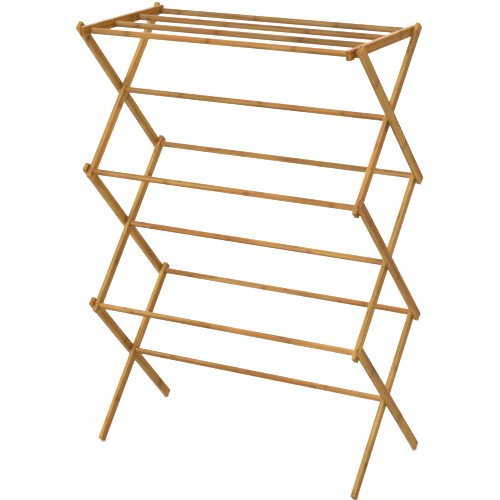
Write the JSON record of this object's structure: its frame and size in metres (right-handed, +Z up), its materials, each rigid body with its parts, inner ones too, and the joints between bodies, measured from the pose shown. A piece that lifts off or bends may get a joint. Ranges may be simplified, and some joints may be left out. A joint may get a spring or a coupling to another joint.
{
  "type": "folding clothes drying rack",
  "caption": "Accordion-folding bamboo clothes drying rack: crossed flat legs on each side joined by round hanging rails, with a hinged slatted top shelf that hooks over the front rail.",
  "frame": {"origin": "centre of the footprint on the floor, under the middle of the bounding box", "axes": "+X across the width to the right seen from the front, +Y to the rear where the shelf is hinged, +Z up"},
  "size_m": [0.749, 0.363, 1.0843],
  "materials": {
    "outer_leg": "satin carbonised bamboo, flat bar",
    "inner_leg": "satin carbonised bamboo, flat bar",
    "rail": "satin carbonised bamboo, turned rod",
    "shelf_bar": "satin carbonised bamboo, flat bar"
  },
  "bodies": {
    "inner_frame_lower": {"inner_leg_lower_left": "inner_leg", "inner_leg_lower_right": "inner_leg", "cross_rail_lower": "rail"},
    "outer_frame_lower": {"outer_leg_lower_left": "outer_leg", "outer_leg_lower_right": "outer_leg", "front_rail_lower": "rail"},
    "outer_frame_middle": {"outer_leg_middle_left": "outer_leg", "outer_leg_middle_right": "outer_leg", "front_rail_upper": "rail", "rear_rail_lower": "rail"},
    "inner_frame_middle": {"inner_leg_middle_left": "inner_leg", "inner_leg_middle_right": "inner_leg", "cross_rail_middle": "rail"},
    "outer_frame_upper": {"outer_leg_upper_left": "outer_leg", "outer_leg_upper_right": "outer_leg", "top_front_rail": "rail", "rear_rail_upper": "rail"},
    "inner_frame_upper": {"inner_leg_upper_left": "inner_leg", "inner_leg_upper_right": "inner_leg", "cross_rail_upper": "rail", "top_rear_rail": "rail"},
    "shelf": {"shelf_bar_left": "shelf_bar", "shelf_bar_right": "shelf_bar", "shelf_rail_front": "rail", "shelf_rail_rear": "rail"}
  },
  "joints": [
    {"name": "fold", "type": "hinge", "parent": "inner_frame_lower", "child": "outer_frame_lower", "pos_m": [0, 0.00617, 0.19494], "axis": [-1, 0, 0], "range_deg": [0, 77]},
    {"name": "lower_rear_pivot", "type": "hinge", "parent": "inner_frame_lower", "child": "outer_frame_middle", "pos_m": [0, 0.16084, 0.36853], "axis": [-1, 0, 0], "range_deg": [0, 77]},
    {"name": "middle_crossing", "type": "hinge", "parent": "outer_frame_middle", "child": "inner_frame_middle", "pos_m": [0, 0.00617, 0.54213], "axis": [1, 0, 0], "range_deg": [0, 77]},
    {"name": "upper_rear_pivot", "type": "hinge", "parent": "inner_frame_middle", "child": "outer_frame_upper", "pos_m": [0, 0.16084, 0.71572], "axis": [-1, 0, 0], "range_deg": [0, 77]},
    {"name": "upper_crossing", "type": "hinge", "parent": "outer_frame_upper", "child": "inner_frame_upper", "pos_m": [0, 0.00617, 0.88931], "axis": [1, 0, 0], "range_deg": [0, 77]},
    {"name": "shelf_hinge", "type": "hinge", "parent": "inner_frame_upper", "child": "shelf", "pos_m": [0, 0.16084, 1.06291], "axis": [-1, 0, 0], "range_deg": [0, 305]}
  ],
  "couplings": [
    {"joint": "lower_rear_pivot", "follows": "fold", "ratio": 1},
    {"joint": "middle_crossing", "follows": "fold", "ratio": 1},
    {"joint": "upper_rear_pivot", "follows": "fold", "ratio": 1},
    {"joint": "upper_crossing", "follows": "fold", "ratio": 1},
    {"joint": "shelf_hinge", "follows": "fold", "ratio": 3.961}
  ]
}
